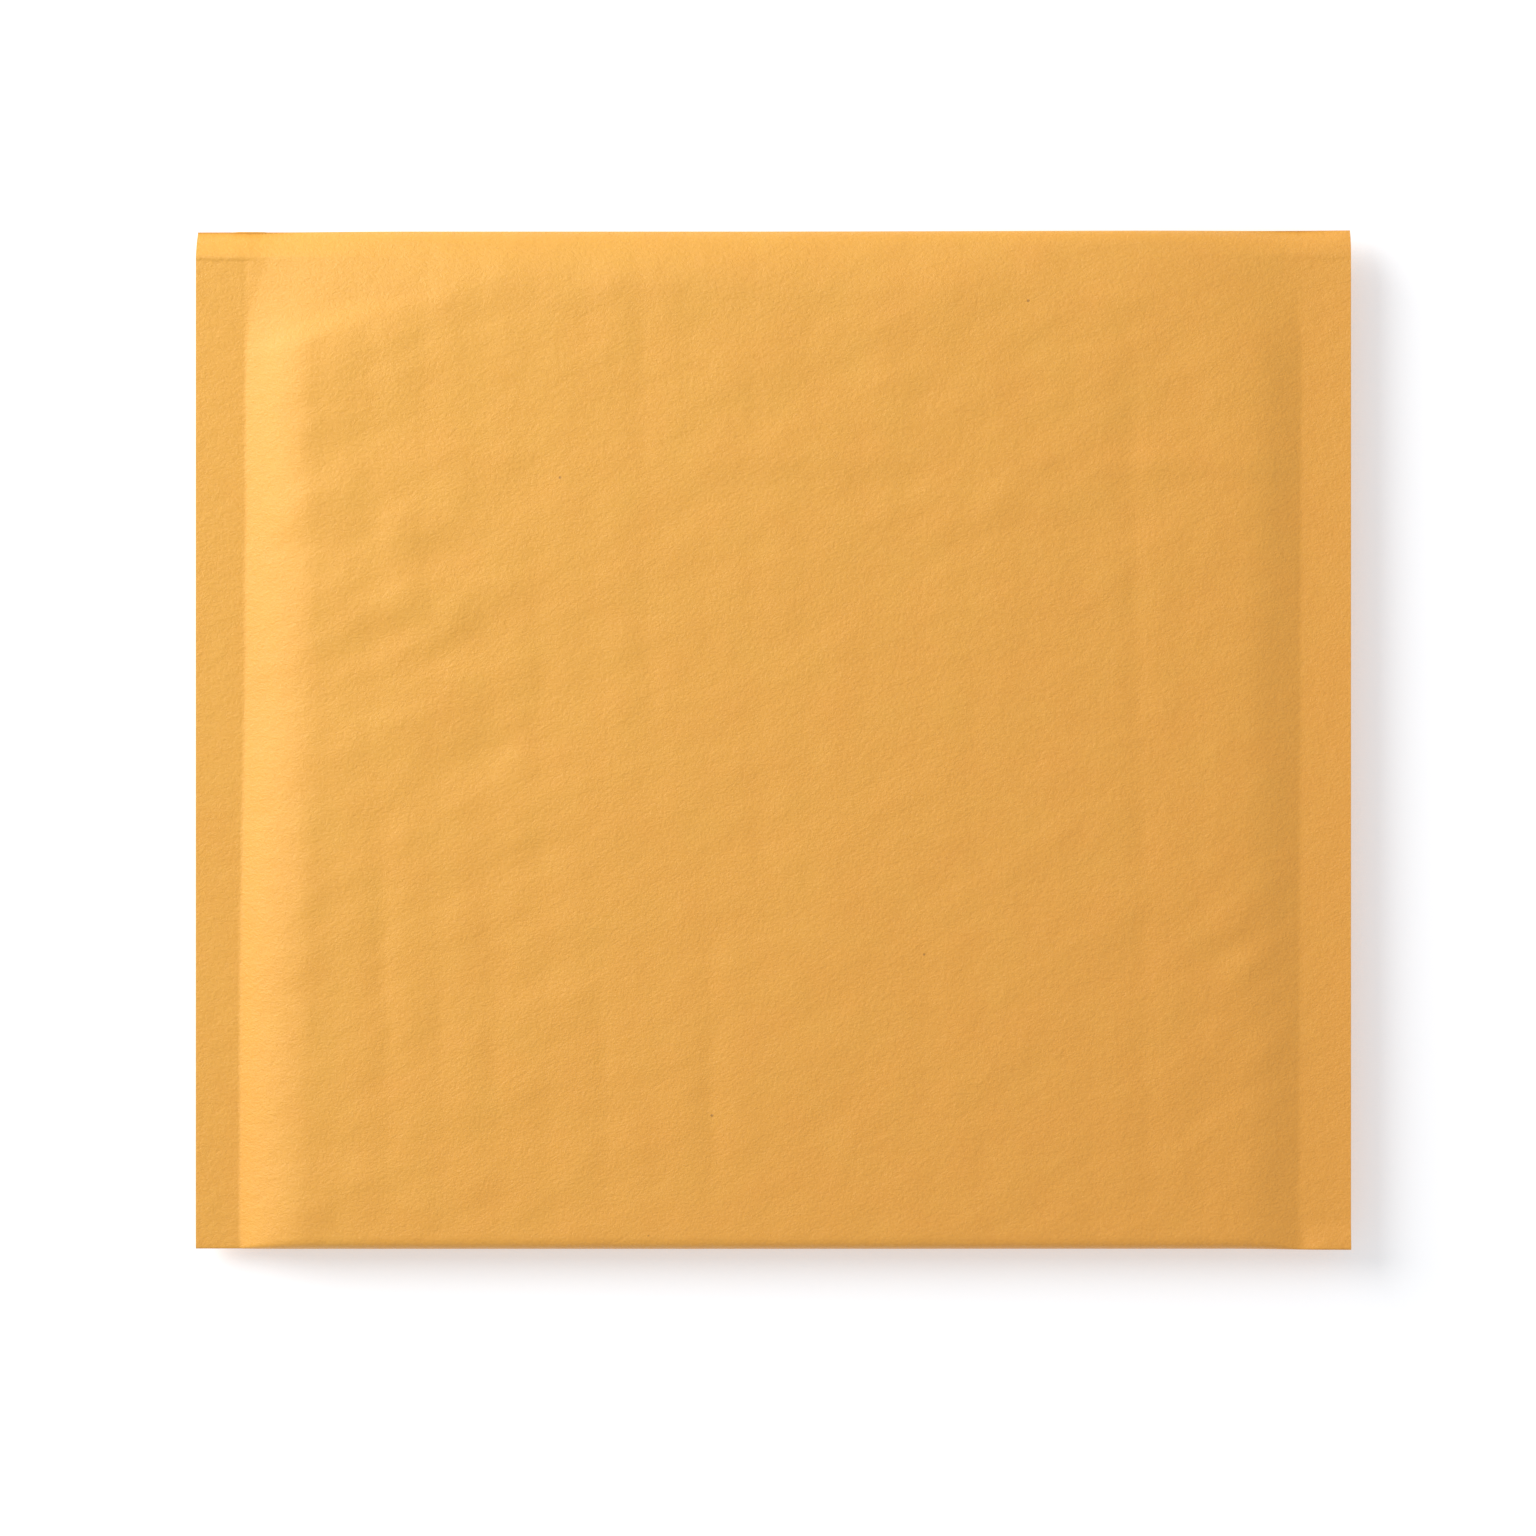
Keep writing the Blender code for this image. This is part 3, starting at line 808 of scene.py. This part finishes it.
def table():
    """A white sheet of board, large enough to fill every view."""
    material, _, shader = blank_material("White painted board")
    shader.inputs["Base Color"].default_value = from_hex("#E6E6E6")
    shader.inputs["Roughness"].default_value = 0.9
    shader.inputs["Emission Color"].default_value = (1, 1, 1, 1)
    shader.inputs["Emission Strength"].default_value = 0.33
    mesh = bmesh.new()
    bmesh.ops.create_grid(mesh, x_segments=1, y_segments=1, size=TABLE_HALF)
    floor = placed("table", mesh, material)
    floor.location.z = -TABLE_GAP


# The camera stands this far above the seams, this far left of and below the middle
CAMERA_HEIGHT = 888.4 * MM
CAMERA_LEFT = 0.82 * MM
CAMERA_BELOW = 4.9 * MM


def camera():
    """Straight down, with the envelope a little above and right of the frame's middle."""
    data = bpy.data.cameras.new("Camera")
    data.lens = 120
    data.sensor_width = 36
    data.clip_start = 10 * MM
    eye = bpy.data.objects.new("Camera", data)
    eye.location = (-CAMERA_LEFT, -CAMERA_BELOW, SEAM_Z + CAMERA_HEIGHT)
    bpy.context.scene.collection.objects.link(eye)
    bpy.context.scene.camera = eye


def soft_light(name, place, size, power):
    """A round area light at the place, turned to the middle of the table."""
    data = bpy.data.lights.new(name, "AREA")
    data.shape = "DISK"
    data.size = size
    data.energy = power
    lamp = bpy.data.objects.new(name, data)
    lamp.location = place
    lamp.rotation_euler = (-Vector(place)).to_track_quat("-Z", "Y").to_euler()
    bpy.context.scene.collection.objects.link(lamp)


def studio():
    """A soft white room, faintly cool, and one large window to the upper left."""
    world = bpy.data.worlds.new("Soft white room")
    world.use_nodes = True
    room = world.node_tree.nodes["Background"]
    room.inputs["Color"].default_value = (0.97, 0.99, 1.04, 1)
    room.inputs["Strength"].default_value = 0.58
    bpy.context.scene.world = world
    soft_light("Window", place=(-0.73, 0.45, 0.52), size=0.80, power=10.3)
    bpy.context.scene.view_settings.view_transform = "Standard"
    bpy.context.scene.view_settings.look = "None"


kraft_sheet(golden_kraft())
dress("bubble_liner", bubble_film())
dress("flap_adhesive", hot_melt())
dress("release_strip", release_paper())
table()
camera()
studio()
